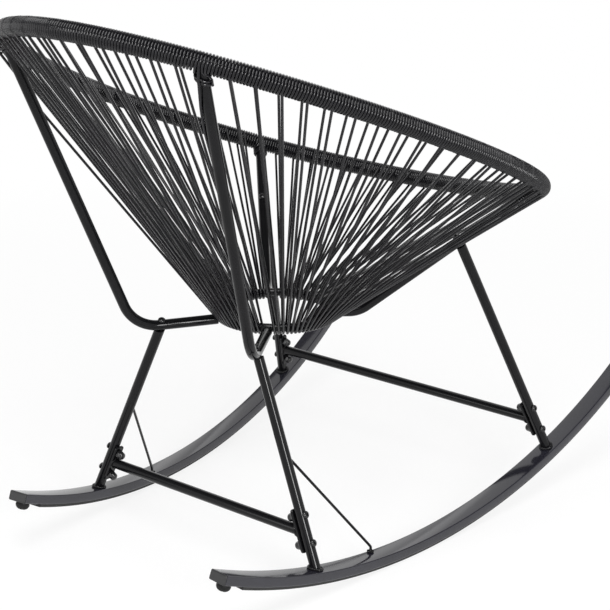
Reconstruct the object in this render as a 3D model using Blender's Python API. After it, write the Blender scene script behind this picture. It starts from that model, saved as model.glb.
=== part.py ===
"""String rocking chair: a tubular steel frame, a cord-wound rim with a strung cord seat, and bent rockers.

Metres, +Z up. The sitter faces -Y and the sitter's left hand is at +X. The chair is symmetric about X = 0.
The floor is Z = 0, and the origin is under the middle of the chair.
"""

import math

import bmesh
import bpy
from mathutils import Matrix, Vector

# Fits
TOUCH_GAP = 0.0003
BOLT_CLEARANCE = 0.0003
PLUG_CLEARANCE = 0.0003

# Rim: an egg-shaped hoop, wider towards the front, leaning back
RIM_WIDTH = 0.720
RIM_LENGTH = 0.827
RIM_EGG = 0.178
RIM_TILT = math.radians(23.3)
RIM_CENTRE_Y = 0.094
RIM_CENTRE_Z = 0.6205
HOOP_RADIUS = 0.009
HOOP_WALL = 0.0015
FRONT_JOINT = math.radians(39.5)
REAR_JOINT = math.radians(145)

# Cord: the seat strings, the winding on the rim and the lashings are the same cord
CORD_RADIUS = 0.0021
PAIR_PITCH = 0.031
PAIR_SPREAD = 0.0065
JOINT_MARGIN = 0.0115
LASHING_TURNS = 2
LASHING_PITCH = 0.0049

# Seat ring: the small lower ring that the strings pass round
RING_RADIUS = 0.084
RING_TUBE_RADIUS = 0.006
RING_WALL = 0.0012
RING_CENTRE_Y = 0.065
RING_CENTRE_Z = 0.3266

# Seat frame: bent tubes from the rim down to a corner, then level to the seat ring
TUBE_RADIUS = 0.0075
TUBE_WALL = 0.0015
REAR_ARM_ANGLE = math.radians(148.4)
REAR_ARM_REACH = 0.2137
REAR_BEND_RADIUS = 0.055
FRONT_ARM_ANGLE = math.radians(47.6)
FRONT_ARM_REACH = 0.1205
FRONT_BEND_RADIUS = 0.045
STRING_TO_ARM = 0.001
ARM_DROP = 0.005

# Rockers: flat rectangular tube bent to an arc, further apart at the front than at the back.
# An edge, base or shoulder is a share of the piece's height, or of its radius and its height.
ARC_RADIUS = 0.906
ARC_CENTRE_Y = 0.041
ARC_STEP = math.radians(3)
REAR_STEPS = 7
FRONT_STEPS = 11
REAR_TAIL = 0.030
FRONT_TAIL = 0.012
ROCKER_SPACING = 0.470
TOE_OUT = math.radians(6.44)
RAIL_WIDTH = 0.030
RAIL_HEIGHT = 0.014
RAIL_WALL = 0.0015
RAIL_CORNER = 0.0018
STRIP_WIDTH = 0.024
STRIP_HEIGHT = 0.0045
STRIP_CHAMFER = 0.001
STRIP_INSET = math.radians(0.5)
PLUG_STUB = 0.012
PLUG_FLANGE = 0.0025
PLUG_EDGE = 0.6
BUMPER_RADIUS = 0.0097
BUMPER_TIP_RADIUS = 0.0076
BUMPER_HEIGHT = 0.011
BUMPER_BASE = 0.3
BUMPER_SHOULDER = (0.8, 0.9)
BUMPER_FROM_END = 0.013

# Posts: from the rockers up to the seat frame
REAR_POST_ANGLE = math.radians(-12.7)
FRONT_POST_ANGLE = math.radians(20.3)
REAR_SEAT_SETBACK = 0.040
FRONT_SEAT_FROM_RIM = 0.125
WELD_FLARE = 0.0025
WELD_HEIGHT = 0.005
POST_END_SOLID = 0.025

# Crossbars, with a flat plate at each end that is bolted to the post
BAR_FROM_FOOT = 0.056
BAR_BOLT_SPACING = 0.040
PLATE_LENGTH = 0.062
PLATE_WIDTH = 0.016
PLATE_THICKNESS = 0.004
PLATE_BEVEL = 0.0008

# Fasteners, with their edges and shoulders as shares of their radius and height
BOLT_RADIUS = 0.003
HEAD_RADIUS = 0.005
HEAD_HEIGHT = 0.0036
HEAD_EDGE = 0.3
HEAD_SHOULDER = (0.75, 0.8)
NUT_RADIUS = 0.0054
NUT_HEIGHT = 0.0115
NUT_EDGE = 0.5
NUT_SHOULDER = (0.8, 0.85)
NUT_BORE_DEPTH = 0.007
BOLT_IN_NUT = 0.006
SEAT_BOLT_IN_POST = 0.008

# Stay rods from the rear posts to the rockers
ROD_RADIUS = 0.002
ROD_UP_POST = 0.55
ROD_FOOT_ANGLE = math.radians(-5)
ROD_FOOT_INBOARD = 0.0095
ROD_FOOT_RADIUS = 0.0035
ROD_FOOT_HEIGHT = 0.008

# Facets
RIM_SIDES = 8
TUBE_SIDES = 10
CORD_SIDES = 5
COIL_SIDES = 6
COIL_POINTS = 14
BOLT_SIDES = 8
FRONT_STATIONS = 9
SIDE_STATIONS = 12
REAR_STATIONS = 7
RING_STATIONS = 28
BEND_STATIONS = 7
BIGHT_STEPS = 3
RIM_SAMPLES = 2000
SHARP_ANGLE = math.radians(35)

# Small steps
SAME_POINT = 0.000001
RIM_NUDGE = 0.01
ARC_END_TRIM = 0.0001

UP = Vector((0, 0, 1))
LEFT = Vector((1, 0, 0))
SIDES = {"left": 1, "right": -1}
WRAP_RADIUS = HOOP_RADIUS + TOUCH_GAP + 2 * CORD_RADIUS
STRING_ROOT = WRAP_RADIUS - CORD_RADIUS
RIM_NORMAL = Vector((0, -math.sin(RIM_TILT), math.cos(RIM_TILT)))
RING_CENTRE = Vector((0, RING_CENTRE_Y, RING_CENTRE_Z))
RAIL_BOTTOM = ARC_RADIUS - STRIP_HEIGHT - TOUCH_GAP
RAIL_MIDDLE = RAIL_BOTTOM - RAIL_HEIGHT / 2
RAIL_TOP = RAIL_BOTTOM - RAIL_HEIGHT
RAIL_BORE_CORNER = RAIL_CORNER - RAIL_WALL
REAR_ARC = -(REAR_STEPS + 0.5) * ARC_STEP
FRONT_ARC = (FRONT_STEPS + 0.5) * ARC_STEP
PLATE_MIDDLE = TUBE_RADIUS + TOUCH_GAP + PLATE_THICKNESS / 2
PLATE_FACE = TUBE_RADIUS + TOUCH_GAP + PLATE_THICKNESS


def clear_scene():
    for item in list(bpy.data.objects):
        bpy.data.objects.remove(item, do_unlink=True)


def make_material(name, colour, roughness, metallic):
    material = bpy.data.materials.new(name)
    material.use_nodes = True
    shader = material.node_tree.nodes["Principled BSDF"]
    shader.inputs["Base Color"].default_value = (*colour, 1)
    shader.inputs["Roughness"].default_value = roughness
    shader.inputs["Metallic"].default_value = metallic
    return material


def make_materials():
    return {
        "frame": make_material("black_powder_coat", (0.016, 0.016, 0.018), 0.28, 0.0),
        "rocker": make_material("rocker_powder_coat", (0.030, 0.030, 0.034), 0.32, 0.0),
        "cord": make_material("black_cord", (0.020, 0.020, 0.022), 0.42, 0.0),
        "rubber": make_material("black_rubber", (0.012, 0.012, 0.012), 0.75, 0.0),
        "plastic": make_material("black_plastic", (0.014, 0.014, 0.015), 0.5, 0.0),
        "fastener": make_material("black_fastener", (0.018, 0.018, 0.019), 0.35, 0.6),
    }


def add_object(name, mesh_data, chair, material, origin):
    """Turn a bmesh in world coordinates into a named object whose origin is at the given point."""
    bmesh.ops.remove_doubles(mesh_data, verts=mesh_data.verts, dist=SAME_POINT)
    bmesh.ops.recalc_face_normals(mesh_data, faces=mesh_data.faces)
    bmesh.ops.translate(mesh_data, verts=mesh_data.verts, vec=-origin)
    mesh = bpy.data.meshes.new(name)
    mesh_data.to_mesh(mesh)
    mesh_data.free()
    mesh.shade_smooth()
    mesh.set_sharp_from_angle(angle=SHARP_ANGLE)
    item = bpy.data.objects.new(name, mesh)
    item.location = origin
    item.parent = chair
    if material is not None:
        mesh.materials.append(material)
    bpy.context.scene.collection.objects.link(item)
    return item


def add_faces_between(mesh_data, ring_a, ring_b):
    for index in range(len(ring_a)):
        after = (index + 1) % len(ring_a)
        mesh_data.faces.new((ring_a[index], ring_a[after], ring_b[after], ring_b[index]))


def add_skin(mesh_data, rings):
    """Vertices and side faces through a row of cross-sections."""
    loops = [[mesh_data.verts.new(point) for point in ring] for ring in rings]
    for first, second in zip(loops, loops[1:]):
        add_faces_between(mesh_data, first, second)
    return loops


def add_solid(mesh_data, rings):
    """A closed solid through a row of cross-sections."""
    loops = add_skin(mesh_data, rings)
    mesh_data.faces.new(loops[0])
    mesh_data.faces.new(loops[-1])


def add_pipe(mesh_data, outer, inner):
    """A tube that is open at both ends."""
    outer_loops = add_skin(mesh_data, outer)
    inner_loops = add_skin(mesh_data, inner)
    add_faces_between(mesh_data, outer_loops[0], inner_loops[0])
    add_faces_between(mesh_data, outer_loops[-1], inner_loops[-1])


def add_cup(mesh_data, outer, inner):
    """A tube that is open at its first end and closed at its last."""
    outer_loops = add_skin(mesh_data, outer)
    inner_loops = add_skin(mesh_data, inner)
    add_faces_between(mesh_data, outer_loops[0], inner_loops[0])
    mesh_data.faces.new(outer_loops[-1])
    mesh_data.faces.new(inner_loops[-1])


def add_turned(mesh_data, origin, axis, profile, sides):
    """A solid turned about an axis, from (radius, height) points that start and end on the axis."""
    across = axis.orthogonal().normalized()
    along = axis.cross(across)
    rings = []
    for radius, height in profile[1:-1]:
        turn = [2 * math.pi * index / sides for index in range(sides)]
        base = origin + axis * height
        rings.append([base + (across * math.cos(a) + along * math.sin(a)) * radius for a in turn])
    loops = add_skin(mesh_data, rings)
    for loop, height in ((loops[0], profile[0][1]), (loops[-1], profile[-1][1])):
        tip = mesh_data.verts.new(origin + axis * height)
        for index in range(sides):
            mesh_data.faces.new((loop[index], loop[(index + 1) % sides], tip))


def circle(radius, sides):
    half = math.pi / sides
    turn = [2 * math.pi * index / sides + half for index in range(sides)]
    return [(radius * math.cos(a), radius * math.sin(a)) for a in turn]


def rounded_box(width, height, corner):
    """Outline of a rectangle with its corners cut off."""
    points = []
    for sign_u, sign_v, swap in ((1, 1, False), (-1, 1, True), (-1, -1, False), (1, -1, True)):
        u, v = sign_u * width / 2, sign_v * height / 2
        row = [(u, v - sign_v * corner), (u - sign_u * corner, v)]
        points.extend(reversed(row) if swap else row)
    return points


def carried(path, profile, reference):
    """Cross-sections of a flat profile carried along a path, mitred where the path turns."""
    rings = []
    side = reference
    for index, point in enumerate(path):
        before = path[max(index, 1)] - path[max(index, 1) - 1]
        after = path[min(index + 1, len(path) - 1)] - path[min(index, len(path) - 2)]
        before.normalize()
        after.normalize()
        tangent = (before + after).normalized()
        side = (side - tangent * side.dot(tangent)).normalized()
        up = tangent.cross(side)
        stretch = 1 / tangent.dot(before) - 1
        turn = (after - before).normalized() if stretch > SAME_POINT else Vector()
        ring = []
        for u, v in profile:
            offset = side * u + up * v
            ring.append(point + offset + turn * (offset.dot(turn) * stretch))
        rings.append(ring)
    return rings


def cut_to_plane(ring, direction, plane_point, plane_normal):
    """Slide a cross-section's points along a direction until they lie in a plane."""
    slope = direction.dot(plane_normal)
    return [point + direction * ((plane_point - point).dot(plane_normal) / slope) for point in ring]


def rounded_corner(start, corner, end, radius):
    """A path from start to end that turns the corner on an arc."""
    arrive = (corner - start).normalized()
    leave = (end - corner).normalized()
    turn = arrive.angle(leave)
    setback = radius * math.tan(turn / 2)
    centre_way = (leave - arrive).normalized()
    centre = corner + centre_way * (radius / math.cos(turn / 2))
    first = corner - arrive * setback
    axis = arrive.cross(leave).normalized()
    arc = []
    for step in range(BEND_STATIONS + 1):
        swing = Matrix.Rotation(turn * step / BEND_STATIONS, 3, axis)
        arc.append(centre + swing @ (first - centre))
    return [start, *arc, end]


def add_tool(name, mesh_data, chair, origin):
    """A helper solid for a Boolean, which isn't a piece of the chair."""
    tool = add_object(name, mesh_data, chair, None, origin)
    tool.hide_render = True
    tool.display_type = "WIRE"
    return tool


def combine(item, tool, operation):
    step = item.modifiers.new(tool.name, "BOOLEAN")
    step.operation = operation
    step.solver = "EXACT"
    step.object = tool


def drill(item, name, chair, start, end, radius, sides):
    """Cut a round hole through an object, from start to end."""
    mesh_data = bmesh.new()
    axis = (end - start).normalized()
    add_solid(mesh_data, carried([start, end], circle(radius, sides), axis.orthogonal()))
    combine(item, add_tool(name, mesh_data, chair, start), "DIFFERENCE")


def rim_point(angle):
    """A point on the rim's centreline. Angle 0 is the front, and a quarter turn is the sitter's left."""
    along = RIM_LENGTH / 2 * math.cos(angle)
    across = RIM_WIDTH / 2 * math.sin(angle) * (1 + RIM_EGG * math.cos(angle))
    return Vector((
        across,
        RIM_CENTRE_Y - along * math.cos(RIM_TILT),
        RIM_CENTRE_Z - along * math.sin(RIM_TILT),
    ))


def ring_point(angle):
    """A point on the seat ring's centreline, with angles as on the rim."""
    return RING_CENTRE + Vector((math.sin(angle), -math.cos(angle), 0)) * RING_RADIUS


def spread_angles(start, end, count):
    """Rim angles from start to end that are equal steps along the rim."""
    samples = [start + (end - start) * index / RIM_SAMPLES for index in range(RIM_SAMPLES + 1)]
    lengths = [0.0]
    for first, second in zip(samples, samples[1:]):
        lengths.append(lengths[-1] + (rim_point(second) - rim_point(first)).length)
    angles = []
    at = 0
    for step in range(count + 1):
        wanted = lengths[-1] * step / count
        while at < RIM_SAMPLES and lengths[at] < wanted:
            at += 1
        angles.append(samples[at])
    return angles


def rim_sections():
    """The rim's stretches between the seat frame joints, as rows of centreline points."""
    bounds = {
        "front": (-FRONT_JOINT, FRONT_JOINT, FRONT_STATIONS),
        "left": (FRONT_JOINT, REAR_JOINT, SIDE_STATIONS),
        "rear": (REAR_JOINT, 2 * math.pi - REAR_JOINT, REAR_STATIONS),
        "right": (2 * math.pi - REAR_JOINT, 2 * math.pi - FRONT_JOINT, SIDE_STATIONS),
    }
    return {
        name: [rim_point(angle) for angle in spread_angles(*bound)]
        for name, bound in bounds.items()
    }


def path_length(path):
    return sum((second - first).length for first, second in zip(path, path[1:]))


def point_along(path, distance):
    """The point at a distance along a path of straight runs, and the run's direction there."""
    for first, second in zip(path, path[1:]):
        run = second - first
        if distance <= run.length or second is path[-1]:
            return first + run.normalized() * distance, run.normalized()
        distance -= run.length


def path_between(path, start, end):
    """The part of a path of straight runs between two distances along it."""
    points = [point_along(path, start)[0]]
    distance = 0
    for first, second in zip(path, path[1:]):
        distance += (second - first).length
        if start + TOUCH_GAP < distance < end - TOUCH_GAP:
            points.append(second)
    points.append(point_along(path, end)[0])
    return points


class SeatTube:
    """Centreline of one seat frame tube, and where its post meets it."""

    def __init__(self, end, side):
        rear = end == "rear"
        joint = REAR_JOINT if rear else FRONT_JOINT
        angle = REAR_ARM_ANGLE if rear else FRONT_ARM_ANGLE
        reach = REAR_ARM_REACH if rear else FRONT_ARM_REACH
        radius = REAR_BEND_RADIUS if rear else FRONT_BEND_RADIUS
        outward = Vector((side * math.sin(angle), -math.cos(angle), 0))
        self.joint = rim_point(side * joint)
        self.rim_way = (rim_point(side * joint + RIM_NUDGE) - self.joint).normalized()
        level = RING_CENTRE - UP * ARM_DROP
        self.corner = level + outward * reach
        self.arm = (self.corner - self.joint).normalized()
        self.square = (self.arm - self.rim_way * self.arm.dot(self.rim_way)).normalized()
        self.top = self.joint + self.arm * ((HOOP_RADIUS + TOUCH_GAP) / self.arm.dot(self.square))
        inner = level + outward * (RING_RADIUS + RING_TUBE_RADIUS + TOUCH_GAP)
        self.path = rounded_corner(self.top, self.corner, inner, radius)
        if rear:
            self.seat = self.corner - outward * REAR_SEAT_SETBACK
            self.seat_way = outward
        else:
            self.seat = self.joint + self.arm * FRONT_SEAT_FROM_RIM
            self.seat_way = self.arm


class Rocker:
    """One rocker's plane: its arc is made of flat steps, and the lowest step lies level."""

    def __init__(self, side):
        self.side = side
        self.ahead = Vector((side * math.sin(TOE_OUT), -math.cos(TOE_OUT), 0))
        self.across = Vector((side * math.cos(TOE_OUT), math.sin(TOE_OUT), 0))
        height = ARC_RADIUS * math.cos(ARC_STEP / 2)
        self.centre = Vector((side * ROCKER_SPACING / 2, ARC_CENTRE_Y, height))

    def on_circle(self, angle, radius):
        return self.centre + self.ahead * (radius * math.sin(angle)) - UP * (radius * math.cos(angle))

    def step_ends(self, angle, radius):
        step = math.floor(angle / ARC_STEP + 0.5)
        first = (step - 0.5) * ARC_STEP
        return first, self.on_circle(first, radius), self.on_circle(first + ARC_STEP, radius)

    def at(self, angle, radius):
        """A point on the flat step at an angle."""
        first, start, end = self.step_ends(angle, radius)
        return start.lerp(end, (angle - first) / ARC_STEP)

    def normal(self, angle):
        """The direction that is square to the step and points to the arc's centre."""
        _, start, end = self.step_ends(angle, ARC_RADIUS)
        return (end - start).normalized().cross(self.across) * self.side

    def arc(self, radius, first_angle, last_angle):
        """The step corners between two angles, with the two ends."""
        corners = [(index + 0.5) * ARC_STEP for index in range(-REAR_STEPS - 1, FRONT_STEPS + 1)]
        inside = [angle for angle in corners if first_angle < angle < last_angle]
        return [self.at(angle, radius) for angle in (first_angle, *inside, last_angle)]


def rail_path(rocker):
    """The rocker tube's centreline: the arc, with a short straight tail at each end."""
    arc = rocker.arc(RAIL_MIDDLE, REAR_ARC + ARC_END_TRIM, FRONT_ARC - ARC_END_TRIM)
    rear_way = (arc[0] - arc[1]).normalized()
    front_way = (arc[-1] - arc[-2]).normalized()
    return [arc[0] + rear_way * REAR_TAIL, *arc, arc[-1] + front_way * FRONT_TAIL]


class Post:
    """Centreline of one post, from the rocker's top to the underside of its seat tube."""

    def __init__(self, end, rocker, tube):
        angle = REAR_POST_ANGLE if end == "rear" else FRONT_POST_ANGLE
        self.side = rocker.side
        self.foot = rocker.at(angle, RAIL_TOP)
        self.foot_normal = rocker.normal(angle)
        self.up = (tube.seat - self.foot).normalized()
        square = self.up - tube.seat_way * self.up.dot(tube.seat_way)
        self.seat_normal = square.normalized()
        self.seat = tube.seat
        self.top = tube.seat - self.up * ((TUBE_RADIUS + TOUCH_GAP) / self.up.dot(self.seat_normal))
        lateral = LEFT * self.side
        self.out = (lateral - self.up * lateral.dot(self.up)).normalized()

    def at(self, distance):
        return self.foot + self.up * distance


def build_hoop(chair, materials, sections):
    """Rim tube, bent round and butted at the middle of the back."""
    rear = sections["rear"]
    whole = path_length(rear)
    first = path_between(rear, (whole + TOUCH_GAP) / 2, whole)
    last = path_between(rear, 0, (whole - TOUCH_GAP) / 2)
    path = [*first, *sections["right"][1:], *sections["front"][1:], *sections["left"][1:], *last[1:]]
    mesh_data = bmesh.new()
    outer = carried(path, circle(HOOP_RADIUS, RIM_SIDES), RIM_NORMAL)
    inner = carried(path, circle(HOOP_RADIUS - HOOP_WALL, RIM_SIDES), RIM_NORMAL)
    add_pipe(mesh_data, outer, inner)
    add_object("rim_hoop", mesh_data, chair, materials["frame"], rim_point(math.pi))


def build_winding(chair, materials, name, path, joints):
    """Close winding of cord on a run of the rim. An end at a joint is cut square to the rim and let out
    round the seat tube there."""
    first = (path[1] - path[0]).normalized()
    last = (path[-1] - path[-2]).normalized()
    path = [path[0] + first * TOUCH_GAP, *path[1:-1], path[-1] - last * TOUCH_GAP]
    outer = carried(path, circle(WRAP_RADIUS, RIM_SIDES), RIM_NORMAL)
    inner = carried(path, circle(HOOP_RADIUS + TOUCH_GAP, RIM_SIDES), RIM_NORMAL)
    for end, (tube, way) in enumerate(zip(joints, (first, last))):
        for rings in (outer, inner):
            if tube is not None:
                rings[-end] = cut_to_plane(rings[-end], way, path[-end], tube.rim_way)
    mesh_data = bmesh.new()
    add_pipe(mesh_data, outer, inner)
    item = add_object(name, mesh_data, chair, materials["cord"], path[0])
    for end, tube in enumerate(joints):
        if tube is not None:
            reach = tube.joint + tube.arm * (2 * WRAP_RADIUS)
            radius = TUBE_RADIUS + 2 * TOUCH_GAP
            drill(item, f"let_out_{name}_{end}", chair, tube.joint, reach, radius, TUBE_SIDES)
    return item


def lashing_path(tube):
    """A few turns of cord round the top of a seat tube, with both ends laid along the tube."""
    radius = TUBE_RADIUS + TOUCH_GAP + CORD_RADIUS
    way = tube.rim_way if tube.rim_way.dot(tube.arm) < 0 else -tube.rim_way
    lean = -way.dot(tube.arm)
    square = math.sqrt(1 - lean ** 2)
    across = (way + tube.arm * lean) / square
    along = tube.arm.cross(across)
    start = (WRAP_RADIUS - (radius - CORD_RADIUS) * lean) / square + 2 * TOUCH_GAP
    first = (WRAP_RADIUS + radius * lean) / square + CORD_RADIUS + 2 * TOUCH_GAP
    count = LASHING_TURNS * COIL_POINTS
    path = [tube.joint + tube.arm * start + across * radius]
    for index in range(count + 1):
        angle = 2 * math.pi * index / COIL_POINTS
        drop = first + LASHING_PITCH * index / COIL_POINTS
        spoke = across * math.cos(angle) + along * math.sin(angle)
        path.append(tube.joint + tube.arm * drop + spoke * radius)
    path.append(path[-1] + tube.arm * (2 * CORD_RADIUS))
    return path


def gap_to_itself(path):
    """Least gap between turns of a coil, measured on its points."""
    gaps = []
    for index, point in enumerate(path):
        for other in path[index + COIL_POINTS // 2:]:
            gaps.append((other - point).length - 2 * CORD_RADIUS)
    return min(gaps)


def build_lashing(chair, materials, name, tube):
    path = lashing_path(tube)
    mesh_data = bmesh.new()
    add_solid(mesh_data, carried(path, circle(CORD_RADIUS, COIL_SIDES), tube.arm.orthogonal()))
    add_object(f"lashing_{name}", mesh_data, chair, materials["cord"], tube.joint)
    return gap_to_itself(path)


def build_ring(chair, materials):
    """Seat ring, bent round and butted at the back."""
    turn = 2 * math.pi / RING_STATIONS
    path = [ring_point(math.pi + turn * index) for index in range(RING_STATIONS + 1)]
    path[0] = path[0] + (path[1] - path[0]).normalized() * TOUCH_GAP
    path[-1] = path[-1] - (path[-1] - path[-2]).normalized() * TOUCH_GAP
    mesh_data = bmesh.new()
    outer = carried(path, circle(RING_TUBE_RADIUS, RIM_SIDES), UP)
    inner = carried(path, circle(RING_TUBE_RADIUS - RING_WALL, RIM_SIDES), UP)
    add_pipe(mesh_data, outer, inner)
    add_object("seat_ring", mesh_data, chair, materials["frame"], RING_CENTRE)
    return path


def string_rings(rim_a, rim_b, ring_centre, ring_way):
    """One string: out of the winding, round the seat ring and up into the winding again."""
    (point_a, way_a), (point_b, way_b) = rim_a, rim_b
    middle = (point_a + point_b) / 2 - ring_centre
    to_rim = (middle - ring_way * middle.dot(ring_way)).normalized()
    over = ring_way.cross(to_rim)
    turn = math.pi / BIGHT_STEPS
    bight = (RING_TUBE_RADIUS + TOUCH_GAP + CORD_RADIUS) / math.cos(turn / 2)
    path = [point_a]
    for step in range(BIGHT_STEPS + 1):
        angle = math.pi / 2 + turn * step
        path.append(ring_centre + (to_rim * math.cos(angle) + over * math.sin(angle)) * bight)
    path.append(point_b)
    rings = carried(path, circle(CORD_RADIUS, CORD_SIDES), ring_way)
    for end, inner, point, way in ((0, 1, point_a, way_a), (-1, -2, point_b, way_b)):
        string_way = (path[inner] - path[end]).normalized()
        square = (string_way - way * string_way.dot(way)).normalized()
        rings[end] = cut_to_plane(rings[end], string_way, point + square * STRING_ROOT, square)
    return rings


def build_cord(chair, materials, name, path, joints, ring_path, ring_span, groups):
    """Winding and strings of one stretch of the rim, in groups that each make a nearly flat panel."""
    whole = path_length(path)
    span = whole - 2 * JOINT_MARGIN
    count = 2 * round(span / PAIR_PITCH / 2)
    ring_start, ring_end = ring_span
    ring_half = math.asin((TUBE_RADIUS + CORD_RADIUS + STRING_TO_ARM) / RING_RADIUS)
    ring_turn = path_length(ring_path) / (2 * math.pi)
    firsts = [round(count * group / groups) for group in range(groups + 1)]
    for group, (first, after) in enumerate(zip(firsts, firsts[1:])):
        strings = bmesh.new()
        for index in range(first, after):
            share = (index + 0.5) / count
            rim_at = JOINT_MARGIN + span * share
            rim_a = point_along(path, rim_at - PAIR_SPREAD / 2)
            rim_b = point_along(path, rim_at + PAIR_SPREAD / 2)
            angle = ring_start + ring_half + (ring_end - ring_start - 2 * ring_half) * share
            ring_at = (angle - math.pi) % (2 * math.pi)
            ring_centre, ring_way = point_along(ring_path, ring_at * ring_turn)
            add_solid(strings, string_rings(rim_a, rim_b, ring_centre, ring_way))
        start = JOINT_MARGIN + span * first / count if group > 0 else 0
        end = JOINT_MARGIN + span * after / count if group < groups - 1 else whole
        ends = (joints[0] if group == 0 else None, joints[1] if group == groups - 1 else None)
        label = f"cord_{name}_{group + 1}"
        item = build_winding(chair, materials, label, path_between(path, start, end), ends)
        combine(item, add_tool(f"strings_{label}", strings, chair, RING_CENTRE), "UNION")


def build_seat_tube(chair, materials, name, tube):
    mesh_data = bmesh.new()
    reference = tube.arm.orthogonal()
    outer = carried(tube.path, circle(TUBE_RADIUS, TUBE_SIDES), reference)
    inner = carried(tube.path, circle(TUBE_RADIUS - TUBE_WALL, TUBE_SIDES), reference)
    for rings in (outer, inner):
        rings[0] = cut_to_plane(rings[0], tube.arm, tube.top, tube.square)
    add_pipe(mesh_data, outer, inner)
    return add_object(f"seat_tube_{name}", mesh_data, chair, materials["frame"], tube.corner)


def build_post(chair, materials, name, post):
    """A post with a weld fillet at its foot and a solid, tapped top end."""
    reference = post.out
    path = [post.foot, post.foot + post.up * WELD_HEIGHT, post.top]
    outer = carried(path, circle(TUBE_RADIUS, TUBE_SIDES), reference)
    outer[0] = carried(path, circle(TUBE_RADIUS + WELD_FLARE, TUBE_SIDES), reference)[0]
    bore_end = post.top - post.up * POST_END_SOLID
    inner = carried([post.foot, bore_end], circle(TUBE_RADIUS - TUBE_WALL, TUBE_SIDES), reference)
    foot = post.foot + post.foot_normal * TOUCH_GAP
    outer[0] = cut_to_plane(outer[0], post.up, foot, post.foot_normal)
    inner[0] = cut_to_plane(inner[0], post.up, foot, post.foot_normal)
    outer[1] = cut_to_plane(outer[1], post.up, foot + post.foot_normal * WELD_HEIGHT, post.foot_normal)
    outer[-1] = cut_to_plane(outer[-1], post.up, post.top, post.seat_normal)
    mesh_data = bmesh.new()
    add_cup(mesh_data, outer, inner)
    return add_object(f"post_{name}", mesh_data, chair, materials["frame"], post.foot)


def add_bolt(mesh_data, seat, axis, length):
    """A dome-headed bolt whose head sits at a point, with its shank against the axis."""
    profile = [
        (0, -length),
        (BOLT_RADIUS, -length),
        (BOLT_RADIUS, 0),
        (HEAD_RADIUS, 0),
        (HEAD_RADIUS, HEAD_HEIGHT * HEAD_EDGE),
        (HEAD_RADIUS * HEAD_SHOULDER[0], HEAD_HEIGHT * HEAD_SHOULDER[1]),
        (0, HEAD_HEIGHT),
    ]
    add_turned(mesh_data, seat, axis, profile, BOLT_SIDES)


def add_cap_nut(mesh_data, seat, axis):
    """A domed cap nut that stands on a point along an axis."""
    bore = BOLT_RADIUS + BOLT_CLEARANCE
    profile = [
        (0, NUT_BORE_DEPTH),
        (bore, NUT_BORE_DEPTH),
        (bore, 0),
        (NUT_RADIUS, 0),
        (NUT_RADIUS, NUT_HEIGHT * NUT_EDGE),
        (NUT_RADIUS * NUT_SHOULDER[0], NUT_HEIGHT * NUT_SHOULDER[1]),
        (0, NUT_HEIGHT),
    ]
    add_turned(mesh_data, seat, axis, profile, BOLT_SIDES)


def build_seat_bolt(chair, materials, name, post, items):
    """The bolt through a seat tube into the top of its post, and its holes."""
    head = post.seat + post.seat_normal * (TUBE_RADIUS + TOUCH_GAP)
    length = 2 * (TUBE_RADIUS + TOUCH_GAP) + SEAT_BOLT_IN_POST
    mesh_data = bmesh.new()
    add_bolt(mesh_data, head, post.seat_normal, length)
    add_object(f"seat_bolt_{name}", mesh_data, chair, materials["fastener"], head)
    above = head + post.seat_normal * HEAD_HEIGHT
    tip = head - post.seat_normal * (length + TOUCH_GAP)
    for item in items:
        hole = f"seat_bolt_hole_{item.name}"
        drill(item, hole, chair, above, tip, BOLT_RADIUS + BOLT_CLEARANCE, BOLT_SIDES)


def bar_bolt_points(post):
    """Where the two crossbar bolts cross a post's centreline."""
    return [post.at(BAR_FROM_FOOT + way * BAR_BOLT_SPACING / 2) for way in (-1, 1)]


def build_plate(chair, name, post):
    """A flat plate on the inner side of a post, along the post."""
    middle = post.at(BAR_FROM_FOOT) - post.out * PLATE_MIDDLE
    half = post.up * (PLATE_LENGTH / 2)
    outline = rounded_box(PLATE_WIDTH, PLATE_THICKNESS, PLATE_BEVEL)
    width_way = post.out.cross(post.up)
    mesh_data = bmesh.new()
    add_solid(mesh_data, carried([middle - half, middle + half], outline, width_way))
    return add_tool(name, mesh_data, chair, middle)


def build_crossbar(chair, materials, end, posts):
    """A crossbar with a plate welded on each end. The tube's bore runs out through the plates."""
    first, last = [post.at(BAR_FROM_FOOT) - post.out * PLATE_MIDDLE for post in posts.values()]
    rings = carried([first, last], circle(TUBE_RADIUS, TUBE_SIDES), UP)
    for index, (middle, post) in enumerate(zip((first, last), posts.values())):
        rings[index] = cut_to_plane(rings[index], LEFT, middle, post.out)
    mesh_data = bmesh.new()
    add_solid(mesh_data, rings)
    item = add_object(f"{end}_crossbar", mesh_data, chair, materials["frame"], (first + last) / 2)
    for side, post in posts.items():
        combine(item, build_plate(chair, f"plate_{end}_{side}", post), "UNION")
    past_plate = (last - first).normalized() * (2 * PLATE_THICKNESS)
    bore = TUBE_RADIUS - TUBE_WALL
    drill(item, f"bore_{end}", chair, first - past_plate, last + past_plate, bore, TUBE_SIDES)
    return item


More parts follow.
